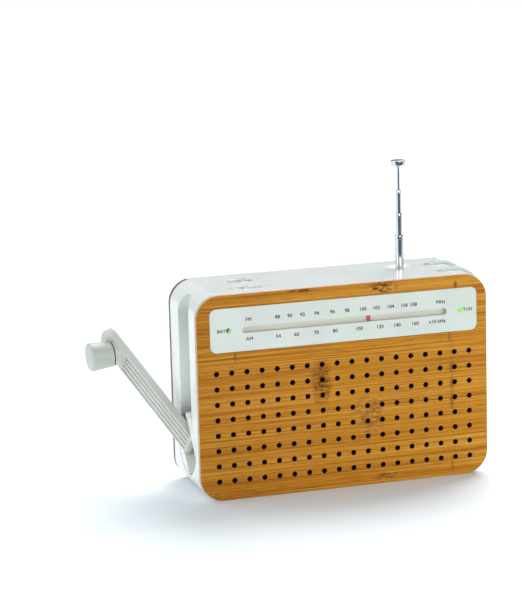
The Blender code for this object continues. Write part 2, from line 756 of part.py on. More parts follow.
def make_gearbox():
    """The idler, the generator and the plate that carries them."""
    at_idler = (0, AXIS_Y, IDLER_Z)
    # a gap of the pinion faces the drive gear below it
    gap_down = 270 + 180 / IDLER_PINION_TEETH
    pinion = gear(IDLER_PINION_TEETH, -84.0, -79.3, 1.8, gap_down)
    idler = add("idler_gear", pinion, "nylon", at=at_idler)
    wheel = gear(IDLER_WHEEL_TEETH, -79.6, -76.4, 1.8, 90)
    combine(idler, add("idler_wheel", wheel, at=at_idler), "UNION")
    shaft = cylinder("X", (AXIS_Y, IDLER_Z), 1.5, -85.2, -70.2, 16)
    add("idler_shaft", shaft, "steel")

    at_rotor = (0, AXIS_Y, ROTOR_Z)
    outline = gear_outline(ROTOR_TEETH, 270 + 180 / ROTOR_TEETH)
    rotor = add("generator_rotor", prism("X", outline, -79.4, -76.0), "brass", at=at_rotor)
    spindle = add("rotor_spindle", cylinder("X", (0, 0), 1.5, -77, -58, 16), at=at_rotor)
    combine(rotor, spindle, "UNION")
    # the drum magnet turns inside the can and its coils, which are one solid
    drum = ((-69.4, 1.8), (-69.4, 7.6), (-58.5, 7.6), (-58.5, 1.8))
    magnet = turned("X", (0, 0), drum, 24, closed=True)
    add("rotor_magnet", magnet, "ferrite", at=at_rotor)
    can = (
        (-52.4, 0),
        (-52.4, 11.4),
        (-53.0, 12.0),
        (-70.6, 12.0),
        (-71.2, 11.4),
        (-71.2, 2.0),
        (-70.0, 2.0),
        (-70.0, 8.2),
        (-56.0, 8.2),
        (-56.0, 0),
    )
    add("generator_housing", turned("X", (AXIS_Y, ROTOR_Z), can, 24), "steel")

    plate = prism("X", rounded_rectangle(-24.5, 25.5, 4.6, 90.4, 4, 4), -73.6, -71.6)
    bracket = add("gearbox_plate", plate, "steel")
    posts = ((22.5, 8, -85.2), (-21, 8, -85.3), (22.5, 62, -94.3), (-21, 66, -94.3))
    for y, z, start in posts:
        post = add(f"gearbox_post_{y}_{z}", cylinder("X", (y, z), 2.2, start, -73, 12))
        combine(bracket, post, "UNION")
    cut(bracket, "idler_hole", cylinder("X", (AXIS_Y, IDLER_Z), 1.8, -80, -65, 16))
    cut(bracket, "rotor_hole", cylinder("X", (AXIS_Y, ROTOR_Z), 2.6, -80, -65, 16))


def main():
    clear_scene()
    make_casing()
    make_front_panel()
    make_rear_panel()
    make_baffle()
    make_dial()
    make_speaker()
    make_board()
    make_battery()
    make_switches()
    make_wheels()
    make_antenna()
    make_crank()
    make_gearbox()
    bpy.context.view_layer.update()


main()
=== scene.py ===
"""The looks of the hand-crank emergency radio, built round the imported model.

Shapes are made in millimetres in the model's own frame: X along the radio, Y from front to
back, Z up. They become metres where a mesh is stored.
"""

import json
import math

import bmesh
import bpy
from mathutils import Matrix, Vector
from mathutils.geometry import delaunay_2d_cdt


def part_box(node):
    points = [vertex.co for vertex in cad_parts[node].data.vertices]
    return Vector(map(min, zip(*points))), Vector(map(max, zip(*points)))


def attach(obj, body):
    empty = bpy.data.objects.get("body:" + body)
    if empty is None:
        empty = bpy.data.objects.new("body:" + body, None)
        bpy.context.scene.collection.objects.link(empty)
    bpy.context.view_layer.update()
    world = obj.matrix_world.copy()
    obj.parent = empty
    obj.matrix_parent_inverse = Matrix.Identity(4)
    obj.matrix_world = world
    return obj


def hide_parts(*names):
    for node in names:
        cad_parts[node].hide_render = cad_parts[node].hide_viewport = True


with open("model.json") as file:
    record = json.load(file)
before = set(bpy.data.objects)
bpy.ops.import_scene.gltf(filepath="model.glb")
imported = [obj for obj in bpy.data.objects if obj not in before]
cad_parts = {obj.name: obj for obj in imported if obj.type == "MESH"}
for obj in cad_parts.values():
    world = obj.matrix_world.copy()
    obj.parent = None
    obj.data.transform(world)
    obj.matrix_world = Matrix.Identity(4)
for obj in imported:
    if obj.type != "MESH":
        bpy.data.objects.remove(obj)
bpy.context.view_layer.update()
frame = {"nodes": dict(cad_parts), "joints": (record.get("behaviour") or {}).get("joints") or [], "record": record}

MM = 0.001

# Camera: one focal length and one stand point, fitted to the object's own corners
CAMERA_PLACE = (-0.5159, -1.5387, 0.4515)
CAMERA_AZIMUTH = -17.03
CAMERA_ELEVATION = 11.62
CAMERA_ROLL = -1.53
CAMERA_LENS = 153.84

# Light: name, kind, place, size in metres (degrees for a sun), power, colour
LIGHTS = (
    ("key", "SUN", (0.50, 0.64, 1.0), 42, 2.65, (1.0, 0.99, 0.98)),
    ("back", "SUN", (-0.75, 0.50, 0.9), 60, 0.75, (0.97, 0.99, 1.0)),
    ("fill", "AREA", (0.25, -2.0, 0.36), 1.4, 21.5, (0.97, 0.99, 1.0)),
    ("side", "AREA", (-1.9, -0.3, 0.6), 1.2, 10.3, (0.97, 1.0, 1.0)),
)
LIGHT_TARGET = Vector((0, 0, 0.07))
WORLD_STRENGTH = 0.34
WORLD_COLOR = (0.80, 0.93, 1.0, 1.0)
FLOOR_FADE = (-0.62, -0.34)  # along Y, from dark to pale
FLOOR_DARK = (0.10, 0.11, 0.12)
FLOOR_PALE = (0.93, 0.965, 0.99)

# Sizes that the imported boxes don't give, the same as in the design
CORNER = 15.5
WALL = 2.6
GAP = 0.3
SEAM = 0.08
PITCH = 10.0
HOLE_R = 1.7
HOLE_COLUMNS = 18
HOLE_ROWS = 8
HOLE_LOW_Z = 12.4
PLATE_CORNER = 4.3
SLOT_X = (-67.2, 70.1)
SLOT_Z = 109.3
SLOT_H = 4.0
LED_Z = 109.6
LED_SLANT = 0.45
POCKET_R = 20.4
POCKET_FLOOR = -88.2
CHANNEL_W = 24.5
CHANNEL_TOP = 116.5
CHANNEL_FLOOR = -90.2
SWING = math.radians(-25)
KNOB_TILT = math.radians(20)
ARM_W = 20.0
ARM_T = 4.9
ARM_L = 94.7
ARM_TIP_R = 7.0
KNOB_AT = 78.2
GROOVE_Y = (-7.2, -2.4, 2.4, 7.2)
GROOVE_Z = (1.8, 70.0)
GROOVE_W = 2.4
GROOVE_DEPTH = 1.3
BOSS_R = 8.1
BOSS_END = 5.0
KNOB_END = 21.0
HUB_R = 20.0
HUB_FACE_R = 18.8
SHAFT_R = 4.0
WHEEL_TEETH = 44
WHEEL_SLOT_R = 19.5
KNURL_DEPTH = 0.45
KNURL_SHARES = (0.30, 0.14)  # half a tooth's width at root and tip, of its pitch
RECESS_L = 16.8
RECESS_W = 7.6
RECESS_DEPTH = 2.0
DISH_R = 9.3
DISH_DEPTH = 1.6
SCREWS = [f"rear_screw_{side}_{level}" for side in ("left", "right") for level in ("low", "high")]
SCREW_R = 2.9
SCREW_SEAT_R = 3.4
SCREW_SEAT_DEPTH = 1.8
PANEL_RIM = 0.55
HOLE_RIM = 0.14
WINDOW_RIM = 0.25
PLATE_RIM = 0.2
PLATE_HOLE_RIM = 0.12
LED_HOLE_R = 1.62
LED_R = 1.5
LED_COLLAR_R = 2.1
RIDGE_X = (-1.15, 0.0, 1.15)
WHEEL_HALF = 3.5
STUB_R = 3.0
ANTENNA_BORES = {1: 2.4, 2: 1.8, 3: 1.15}
SHAFT_END = -77.4
ARM_SLOT_FLOOR = -91.2
HINGE_BORE_R = 1.6
KNOB_BORE_R = 2.3
HUB_BORE_R = 6.3
KNOB_POCKET_R = 10.2
SLEEVE_BORE_R = 4.2
POST_R = 4.0
PILOT_R = 1.5
LEFT_OF_ALL = -105
OVER_ALL = 140
CLOTH_CELLS = (88, 42)
FLAT_EDGE = 32  # degrees: an edge this flat or flatter isn't rounded
RIM_REACH = 0.35  # how far inside the outline the centre of a rim's face may be
RIM_MARGIN = 0.25  # how far under the flat faces the rim's own material begins

# Boxes where the casing is thicker: behind the hub, the channel, the knob pocket, the switches
# and the antenna's dish
THICK_PLACES = (
    ((-99, -24.5, 0), (POCKET_FLOOR + WALL, 19.6, 57)),
    ((-99, -17.7, 50), (CHANNEL_FLOOR + WALL, 12.3, 134)),
    ((-99, -15.9, 91), (-66.5, 10.5, 134)),
    ((-70, -21, 126.6), (-42, 16, 134)),
    ((42, -2.6, 127), (65, 20.4, 134)),
)


def box_mm(name):
    low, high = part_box(name)
    return low / MM, high / MM


def middle_mm(name):
    return sum(box_mm(name), Vector()) / 2


def joint(name):
    return next(row for row in frame["joints"] if row["name"] == name)


def joint_place(name):
    return Vector(joint(name)["pos_m"]) / MM


PANEL_LOW, PANEL_HIGH = box_mm("front_panel")
REAR_LOW, REAR_HIGH = box_mm("rear_panel")
SIDE = PANEL_HIGH.x
HEIGHT = PANEL_HIGH.z
SPIN_AT = joint_place("crank_spin")
FOLD_AT = joint_place("crank_fold")
FOLD_AXIS = -Vector(joint("crank_fold")["axis"])
SPIN = math.atan2(FOLD_AXIS.z, FOLD_AXIS.y)
ANTENNA = middle_mm("antenna_rod")


# ---------------------------------------------------------------- node materials


def node(tree, kind, inputs=None, **settings):
    """Adds a shader node. An input is a number, a colour, a vector or another node's socket."""
    made = tree.nodes.new("ShaderNode" + kind)
    for key, value in settings.items():
        setattr(made, key, value)
    for key, value in (inputs or {}).items():
        if isinstance(value, bpy.types.NodeSocket):
            tree.links.new(value, made.inputs[key])
        else:
            made.inputs[key].default_value = value
    return made


def math_node(tree, operation, a, b=0.0, clamp=False):
    inputs = {0: a, 1: b}
    return node(tree, "Math", inputs, operation=operation, use_clamp=clamp).outputs[0]


def map_range(tree, value, start=(0.0, 1.0), end=(0.0, 1.0), **settings):
    """Maps the start range onto the end range."""
    names = ("From Min", "From Max", "To Min", "To Max")
    inputs = {"Value": value, **dict(zip(names, (*start, *end)))}
    return node(tree, "MapRange", inputs, **settings).outputs[0]


def mix_color(tree, factor, a, b, blend="MIX"):
    inputs = {0: factor, 6: a, 7: b}
    return node(tree, "Mix", inputs, data_type="RGBA", blend_type=blend).outputs[2]


def ramp(tree, value, stops):
    made = node(tree, "ValToRGB", {0: value})
    band = made.color_ramp
    while len(band.elements) < len(stops):
        band.elements.new(0.5)
    for element, (position, color) in zip(band.elements, stops):
        element.position = position
        element.color = (*color, 1.0)
    return made.outputs[0]


def object_xyz(tree):
    """The three object coordinates in metres, as sockets."""
    return node(tree, "SeparateXYZ", {0: node(tree, "TexCoord").outputs["Object"]}).outputs


def scaled(tree, scale, shift=(0.0, 0.0, 0.0)):
    """Object coordinates in metres, scaled and shifted."""
    coordinates = node(tree, "TexCoord").outputs["Object"]
    inputs = {"Vector": coordinates, "Scale": scale, "Location": shift}
    return node(tree, "Mapping", inputs).outputs[0]


def noise(tree, scale, detail=3.0, roughness=0.5, shift=(0.0, 0.0, 0.0), distortion=0.0):
    inputs = {
        "Vector": scaled(tree, scale, shift),
        "Scale": 1.0,
        "Detail": detail,
        "Roughness": roughness,
        "Distortion": distortion,
    }
    return node(tree, "TexNoise", inputs).outputs[0]


def feed(shader, name, value):
    """Links a socket to an input of the shader."""
    shader.id_data.links.new(value, shader.inputs[name])


def new_material(name, color, roughness, metallic=0.0, specular=0.5):
    made = bpy.data.materials.new(name)
    made.use_nodes = True
    shader = made.node_tree.nodes["Principled BSDF"]
    shader.inputs["Base Color"].default_value = (*color, 1.0)
    shader.inputs["Roughness"].default_value = roughness
    shader.inputs["Metallic"].default_value = metallic
    shader.inputs["Specular IOR Level"].default_value = specular
    return made, made.node_tree, shader


def bump(tree, shader, height, strength, distance):
    inputs = {"Height": height, "Strength": strength, "Distance": distance}
    feed(shader, "Normal", node(tree, "Bump", inputs).outputs[0])


def moulded(name, color, roughness, relief=0.06, grain=1400.0, spread=0.03):
    """A moulded or cast finish: faint colour drift, patchy gloss and a fine surface grain."""
    made, tree, shader = new_material(name, color, roughness)
    drift = noise(tree, (38.0, 38.0, 38.0), 3.0)
    low = tuple(max(part * (1 - spread), 0.0) for part in color)
    high = tuple(min(part * (1 + spread), 1.0) for part in color)
    feed(shader, "Base Color", ramp(tree, drift, ((0.35, low), (0.65, high))))
    patch = noise(tree, (90.0, 90.0, 90.0), 4.0, 0.6)
    gloss = map_range(tree, patch, end=(roughness * 0.8, roughness * 1.25))
    feed(shader, "Roughness", gloss)
    bump(tree, shader, noise(tree, (grain,) * 3, 2.0), relief, 0.00004)
    return made


def turned_metal(name, color, roughness):
    """Turned or drawn metal, with fine lines round Z."""
    made, tree, shader = new_material(name, color, roughness, 1.0)
    fine = noise(tree, (30.0, 30.0, 2600.0), 3.0, 0.7)
    shade = ramp(tree, fine, ((0.3, tuple(c * 0.86 for c in color)), (0.7, color)))
    feed(shader, "Base Color", shade)
    bump(tree, shader, fine, 0.08, 0.00003)
    return made


WOOD_TONES = (
    (0.38, (0.32, 0.105, 0.004)),
    (0.45, (0.51, 0.190, 0.008)),
    (0.53, (0.61, 0.265, 0.019)),
    (0.61, (0.72, 0.360, 0.065)),
)
KNOT_DARK = (0.33, 0.11, 0.002)
KNOT_PALE = (0.70, 0.33, 0.055)
CRACK = (0.15, 0.038, 0.001, 1.0)
SMUDGE = (0.14, 0.036, 0.002, 1.0)
# Nodes of the culm, where the fibres knot: centre x and z, half width, half height, strength,
# and the colour between the cracks
FRONT_KNOTS = (
    (-15.5, 71.0, 6.5, 14.0, 1.0, KNOT_DARK),
    (16.5, 46.0, 10.5, 14.0, 0.62, KNOT_PALE),
    (26.0, 128.5, 11.0, 4.5, 1.0, KNOT_PALE),
    (27.0, 4.5, 7.0, 3.0, 0.8, KNOT_PALE),
    (-28.0, 131.2, 9.0, 1.2, 1.0, KNOT_DARK),
    (-86.0, 3.5, 5.0, 2.4, 0.7, KNOT_PALE),
)
REAR_KNOTS = (
    (-48.0, 96.0, 8.0, 15.0, 0.9, KNOT_DARK),
    (31.0, 24.0, 7.0, 17.0, 0.9, KNOT_PALE),
    (66.0, 112.0, 8.0, 9.0, 0.7, KNOT_PALE),
)
# Upright smudges where a strip's node was planed: centre x and z, half width, half height,
# strength
FRONT_SMUDGES = (
    (73.0, 66.0, 1.1, 42.0, 0.3),
    (72.8, 72.5, 1.6, 3.2, 0.8),
    (72.8, 62.0, 1.6, 3.6, 0.9),
    (72.8, 50.0, 1.4, 4.5, 0.8),
    (72.8, 8.0, 1.2, 6.0, 0.5),
    (76.0, 126.0, 1.3, 3.2, 1.0),
    (-72.5, 92.5, 1.0, 3.2, 0.8),
    (71.5, 93.0, 1.0, 3.2, 0.7),
)


def patch_mask(tree, edge_noise, patch):
    """Full strength in the middle of an ellipse in X and Z, falling to 0 past its ragged edge."""
    x, z, wide, tall, strength = patch
    at = object_xyz(tree)
    across = math_node(tree, "SUBTRACT", at[0], x * MM)
    across = math_node(tree, "DIVIDE", across, wide * MM)
    up = math_node(tree, "SUBTRACT", at[2], z * MM)
    up = math_node(tree, "DIVIDE", up, tall * MM)
    away = math_node(tree, "MULTIPLY", across, across)
    away = math_node(tree, "ADD", away, math_node(tree, "MULTIPLY", up, up))
    away = math_node(tree, "ADD", away, edge_noise)
    return map_range(tree, away, (1.9, 0.7), (0.0, strength))


def bamboo(name, knots, smudges, seed):
    """Pressed bamboo: fibres along X, pores, a painted sheen that pales it to the right, knots and smudges."""
    made, tree, shader = new_material(name, (0.5, 0.22, 0.05), 0.5, specular=0.13)
    shift = (seed * 7.3, 0.0, seed * 3.1)
    fibre = noise(tree, (5.0, 60.0, 980.0), 4.0, 0.72, shift)
    band = noise(tree, (1.5, 20.0, 250.0), 3.0, 0.5, shift)
    tone = math_node(tree, "MULTIPLY", fibre, 0.78)
    tone = math_node(tree, "ADD", tone, math_node(tree, "MULTIPLY", band, 0.22))
    wood = ramp(tree, tone, WOOD_TONES)
    pores = noise(tree, (95.0, 200.0, 2300.0), 3.0, 0.6, shift)
    pores = ramp(tree, pores, ((0.36, (0.62, 0.55, 0.48)), (0.47, (1.0, 1.0, 1.0))))
    wood = mix_color(tree, 0.65, wood, pores, "MULTIPLY")
    # Painted sheen and shade: darker and more saturated on the left, paler to the right, where the light's sheen
    # falls
    along = map_range(tree, object_xyz(tree)[0], (-SIDE * MM, SIDE * MM))
    stops = ((0.0, (0.80, 0.74, 0.55)), (0.45, (0.94, 0.89, 0.75)), (1.0, (1.0, 1.0, 1.0)))
    wood = mix_color(tree, 1.0, wood, ramp(tree, along, stops), "MULTIPLY")

    ragged = noise(tree, (160.0, 160.0, 160.0), 3.0, 0.6, shift)
    cracks = noise(tree, (230.0, 200.0, 640.0), 4.0, 0.65, shift, 1.3)
    cracks = ramp(tree, cracks, ((0.46, (1.0, 1.0, 1.0)), (0.53, (0.0, 0.0, 0.0))))
    for *patch, tint in knots:
        mask = patch_mask(tree, ragged, patch)
        shade = math_node(tree, "MULTIPLY", mask, 0.45)
        wood = mix_color(tree, shade, wood, (*tint, 1.0))
        dark = math_node(tree, "MULTIPLY", mask, cracks, True)
        wood = mix_color(tree, dark, wood, CRACK)
    streak = math_node(tree, "MULTIPLY", fibre, 1.25, True)
    for patch in smudges:
        mask = math_node(tree, "MULTIPLY", patch_mask(tree, ragged, patch), streak, True)
        wood = mix_color(tree, mask, wood, SMUDGE)
    feed(shader, "Base Color", wood)

    feed(shader, "Roughness", map_range(tree, fibre, end=(0.36, 0.52)))
    bump(tree, shader, fibre, 0.25, 0.00008)
    return made


def bamboo_rim(name, dark, pale):
    """A panel's planed edge, with the laminate's layers along it."""
    made, tree, shader = new_material(name, pale, 0.55)
    layer = noise(tree, (9.0, 1500.0, 9.0), 3.0, 0.6)
    speck = noise(tree, (420.0, 420.0, 420.0), 4.0, 0.6)
    tone = math_node(tree, "MULTIPLY", layer, 0.6)
    tone = math_node(tree, "ADD", tone, math_node(tree, "MULTIPLY", speck, 0.4))
    stops = ((0.36, dark), (0.62, pale))
    feed(shader, "Base Color", ramp(tree, tone, stops))
    bump(tree, shader, tone, 0.2, 0.00006)
    return made


def chrome():
    """Polished plating with faint drawing lines along the tube."""
    made, tree, shader = new_material("chrome", (0.60, 0.62, 0.65), 0.06, 1.0)
    drawn = noise(tree, (2200.0, 2200.0, 14.0), 2.0)
    feed(shader, "Roughness", map_range(tree, drawn, end=(0.04, 0.12)))
    shade = ramp(tree, drawn, ((0.3, (0.52, 0.54, 0.57)), (0.6, (0.66, 0.68, 0.71))))
    feed(shader, "Base Color", shade)
    return made


def woven(name, color):
    """Fine plain weave."""
    made, tree, shader = new_material(name, color, 0.95, 0.0, 0.1)
    waves = []
    for direction in ("X", "Z"):
        inputs = {"Vector": scaled(tree, (1.0, 1.0, 1.0)), "Scale": 420.0, "Distortion": 0.4}
        wave = node(tree, "TexWave", inputs, bands_direction=direction)
        waves.append(wave.outputs["Fac"])
    weave = math_node(tree, "MULTIPLY", *waves)
    low = tuple(c * 0.4 for c in color)
    high = tuple(c * 2.2 for c in color)
    stops = ((0.1, low), (0.8, high))
    feed(shader, "Base Color", ramp(tree, weave, stops))
    bump(tree, shader, weave, 0.6, 0.0001)
    return made


def circuit_board():
    """Green solder mask over lighter copper tracks."""
    made, tree, shader = new_material("board", (0.05, 0.22, 0.08), 0.4)
    inputs = {"Vector": scaled(tree, (180.0, 180.0, 180.0)), "Scale": 1.0}
    cells = node(tree, "TexVoronoi", inputs, distance="CHEBYCHEV", feature="F1")
    stops = ((0.28, (0.08, 0.33, 0.12)), (0.34, (0.03, 0.16, 0.06)))
    color = ramp(tree, cells.outputs["Distance"], stops)
    feed(shader, "Base Color", color)
    bump(tree, shader, cells.outputs["Distance"], 0.2, 0.0001)
    return made


def lens(name, bright, dark, glow, edge):
    """A green lamp lens, darker to the left of a slanted line through x = edge."""
    made, tree, shader = new_material(name, bright, 0.12)
    at = object_xyz(tree)
    up = math_node(tree, "SUBTRACT", at[2], LED_Z * MM)
    slant = math_node(tree, "MULTIPLY", up, LED_SLANT)
    across = math_node(tree, "SUBTRACT", at[0], slant)
    side = map_range(tree, across, (edge - 0.0002, edge + 0.0002))
    color = mix_color(tree, side, (*dark, 1.0), (*bright, 1.0))
    facets = noise(tree, (1500.0, 1500.0, 1500.0), 2.0)
    color = mix_color(tree, 0.12, color, ramp(tree, facets, ((0.3, dark), (0.7, bright))))
    feed(shader, "Base Color", color)
    feed(shader, "Emission Color", color)
    shader.inputs["Emission Strength"].default_value = glow
    return made


# Colour, roughness, and where they differ from the usual ones the grain's relief, fineness and
# spread of tone
MOULDED = {
    "casing_plastic": ((0.80, 0.812, 0.785), 0.17),
    "dial_plastic": ((0.695, 0.73, 0.665), 0.34, 0.1),
    "crank_plastic": ((0.56, 0.567, 0.515), 0.36, 0.1),
    # The hub's and the knob's are the crank's one plastic: lighter for the hub as painted light, darker for the
    # knob as painted shade
    "crank_plastic_painted_light": ((0.80, 0.80, 0.75), 0.32, 0.1),
    "crank_plastic_painted_shade": ((0.49, 0.512, 0.462), 0.42, 0.1),
    "control_plastic": ((0.66, 0.72, 0.66), 0.34, 0.1),
    "black_plastic": ((0.02, 0.02, 0.02), 0.5, 0.3),
    "scale_card": ((0.82, 0.80, 0.67), 0.7, 0.2),
    "red_plastic": ((0.72, 0.05, 0.11), 0.3),
    "nylon": ((0.78, 0.76, 0.66), 0.45),
    "ferrite": ((0.06, 0.06, 0.065), 0.6, 0.4),
    "paper": ((0.09, 0.09, 0.09), 0.9, 0.5, 700.0, 0.15),
    "cell_sleeve": ((0.05, 0.30, 0.14), 0.35),
    "ink": ((0.015, 0.017, 0.017), 0.6),
    # Black painted shade for the walls of the grille holes
    "hole_painted_shade": ((0.012, 0.010, 0.009), 0.7),
    "faint_ink": ((0.45, 0.48, 0.47), 0.6),
}
# An edge's dark and pale tones
RIMS = {
    "bamboo_rim": ((0.44, 0.27, 0.16), (0.66, 0.50, 0.37)),
    # The rear rim's tones: paler painted light for its top, darker painted shade round its sides
    "rear_rim_painted_light": ((0.66, 0.60, 0.56), (0.82, 0.79, 0.76)),
    "rear_rim_painted_shade": ((0.12, 0.060, 0.040), (0.24, 0.14, 0.10)),
}


def make_materials():
    made = {name: moulded(name, *values) for name, values in MOULDED.items()}
    made.update({name: bamboo_rim(name, *tones) for name, tones in RIMS.items()})
    made["steel"] = turned_metal("steel", (0.55, 0.55, 0.56), 0.35)
    made["brass"] = turned_metal("brass", (0.70, 0.50, 0.20), 0.3)
    made["chrome"] = chrome()
    made["bamboo"] = bamboo("bamboo", FRONT_KNOTS, FRONT_SMUDGES, 0.0)
    made["bamboo_rear"] = bamboo("bamboo_rear", REAR_KNOTS, (), 1.0)
    made["black_cloth"] = woven("black_cloth", (0.006, 0.006, 0.006))
    made["board"] = circuit_board()
    return made


# ---------------------------------------------------------------- shape tools


def place(axis, a, b, along):
    return {"X": (along, a, b), "Y": (a, along, b), "Z": (a, b, along)}[axis]


def arc(center, radius, start, end, steps):
    points = []
    for i in range(steps + 1):
        angle = math.radians(start + (end - start) * i / steps)
        points.append((center[0] + radius * math.cos(angle), center[1] + radius * math.sin(angle)))
    return points


def rounded_rectangle(a0, a1, b0, b1, radius, steps=16):
    corners = (
        (a1 - radius, b1 - radius, 0),
        (a0 + radius, b1 - radius, 90),
        (a0 + radius, b0 + radius, 180),
        (a1 - radius, b0 + radius, 270),
    )
    points = []
    for a, b, start in corners:
        points += arc((a, b), radius, start, start + 90, steps)
    return points


def circle(center, radius, sides):
    return arc(center, radius, 0, 360 * (sides - 1) / sides, sides - 1)


def toothed_outline(teeth, root_r, tip_r, root_share, tip_share):
    corners = ((root_r, -root_share), (tip_r, -tip_share), (tip_r, tip_share), (root_r, root_share))
    outline = []
    for tooth in range(teeth):
        for radius, share in corners:
            angle = 2 * math.pi * (tooth + share) / teeth
            outline.append((radius * math.cos(angle), radius * math.sin(angle)))
    return outline


def strip(mesh, first, second):
    """Quads between two equal rings of vertices."""
    for i in range(len(first)):
        j = (i + 1) % len(first)
        mesh.faces.new((first[i], second[i], second[j], first[j]))


def loft(outlines, closed=False):
    """Skins equal rings of points. The first and last are capped, or joined if closed."""
    mesh = bmesh.new()
    rings = [[mesh.verts.new(point) for point in outline] for outline in outlines]
    if closed:
        rings.append(rings[0])
    else:
        mesh.faces.new(rings[0])
        mesh.faces.new(reversed(rings[-1]))
    for first, second in zip(rings, rings[1:]):
        strip(mesh, first, second)
    return mesh


def prism(axis, outline, low, high):
    return loft([[place(axis, a, b, along) for a, b in outline] for along in (low, high)])


def box(low, high):
    outline = ((low[0], low[1]), (high[0], low[1]), (high[0], high[1]), (low[0], high[1]))
    return prism("Z", outline, low[2], high[2])


def cylinder(axis, center, radius, low, high, sides=64):
    return prism(axis, circle(center, radius, sides), low, high)


def turned(axis, center, profile, sides=64, closed=False):
    """Turns (along, radius) points about an axis. An open profile ends in flat caps."""
    rings = []
    for along, radius in profile:
        points = circle(center, max(radius, 0.02), sides)
        rings.append([place(axis, a, b, along) for a, b in points])
    return loft(rings, closed)


def rounded(start, end):
    """Points (along, radius) of a quarter round between two profile points."""
    steps = 4
    points = []
    for i in range(steps + 1):
        angle = math.pi / 2 * i / steps
        along = start[0] + (end[0] - start[0]) * (1 - math.cos(angle))
        points.append((along, start[1] + (end[1] - start[1]) * math.sin(angle)))
    return points


def sheet_with_holes(mesh, loops):
    """Flat faces between the first loop of vertices and the other, convex ones."""
    flat = []
    owner = []
    edges = []
    for number, loop in enumerate(loops):
        first = len(flat)
        for i, vertex in enumerate(loop):
            flat.append(Vector((vertex.co.x, vertex.co.z)))
            owner.append((number, vertex))
            edges.append((first + i, first + (i + 1) % len(loop)))
    found = delaunay_2d_cdt(flat, edges, [], 0, 1e-6)
    for corners in found[2]:
        picked = [owner[found[3][corner][0]] for corner in corners]
        numbers = {number for number, _ in picked}
        if len(numbers) == 1 and 0 not in numbers:
            continue
        mesh.faces.new([vertex for _, vertex in picked])


def plate(outer, holes, front, back, edge, steps=4):
    """A flat plate with rounded rims. Each outline is a function of how far it is drawn in.

    A hole is its outline and its rim's radius.
    """
    mesh = bmesh.new()
    ends = []
    loops = [(outer, edge, 1)] + [(hole, rim, -1) for hole, rim in holes]
    for outline, radius, sign in loops:
        levels = []
        for i in range(steps + 1):
            angle = math.pi / 2 * i / steps
            inset = radius * (1 - math.sin(angle))
            levels.append((inset, front + radius * (1 - math.cos(angle))))
        levels += [(inset, front + back - y) for inset, y in reversed(levels)]
        rings = []
        for inset, y in levels:
            points = outline(inset * sign)
            rings.append([mesh.verts.new((x, y, z)) for x, z in points])
        for first, second in zip(rings, rings[1:]):
            strip(mesh, first, second)
        ends.append((rings[0], rings[-1]))
    for flat_loops in zip(*ends):
        sheet_with_holes(mesh, flat_loops)
    return mesh


def rectangle_outline(x0, x1, z0, z1, radius, steps=16):
    def outline(inset):
        size = (x0 + inset, x1 - inset, z0 + inset, z1 - inset)
        return rounded_rectangle(*size, radius - inset, steps)

    return outline


def circle_outline(center, radius, sides):
    return lambda inset: circle(center, radius - inset, sides)


def loose(name, mesh, matrix=None):
    """A bmesh in millimetres as a linked object in metres, in the model's frame."""
    bmesh.ops.recalc_face_normals(mesh, faces=mesh.faces)
    mesh.transform(Matrix.Scale(MM, 4) @ (matrix or Matrix()))
    data = bpy.data.meshes.new(name)
    mesh.to_mesh(data)
    mesh.free()
    made = bpy.data.objects.new(name, data)
    bpy.context.scene.collection.objects.link(made)
    return made


def bake(target, spare=()):
    """Replaces the mesh by what its modifiers make of it, and removes the objects they used."""
    bpy.context.view_layer.update()
    graph = bpy.context.evaluated_depsgraph_get()
    shape = target.evaluated_get(graph)
    data = bpy.data.meshes.new_from_object(shape, preserve_all_data_layers=True, depsgraph=graph)
    target.modifiers.clear()
    target.data = data
    for obj in spare:
        bpy.data.objects.remove(obj, do_unlink=True)


def combine(target, tools, operation="DIFFERENCE"):
    """Cuts meshes from the target, or joins them to it. Each tool is a bmesh and its matrix."""
    spare = []
    for number, (mesh, matrix) in enumerate(tools):
        tool = loose(f"{target.name}_tool_{number}", mesh, matrix)
        change = target.modifiers.new("shape", "BOOLEAN")
        change.operation = operation
        change.solver = "EXACT"
        change.object = tool
        spare.append(tool)
    bake(target, spare)


def soften(target, width, segments):
    """Rounds every edge that isn't nearly flat."""
    edge = target.modifiers.new("rim", "BEVEL")
    edge.width = width * MM
    edge.segments = segments
    edge.limit_method = "ANGLE"
    edge.angle_limit = math.radians(FLAT_EDGE)
    edge.use_clamp_overlap = False
    edge.miter_outer = "MITER_ARC"
    bake(target)


def finish(piece, material, body, slot, *nodes, angle=30):
    """Shades the piece, gives it its material and puts it on its body."""
    piece.data.materials.clear()
    piece.data.materials.append(material)
    piece.data.shade_smooth()
    piece.data.set_sharp_from_angle(angle=math.radians(angle))
    flat = piece.modifiers.new("flat_faces", "WEIGHTED_NORMAL")
    flat.keep_sharp = True
    flat.weight = 80
    bake(piece)
    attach(piece, body)
    if nodes:
        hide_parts(*nodes)
    return piece


# ---------------------------------------------------------------- casing and panels


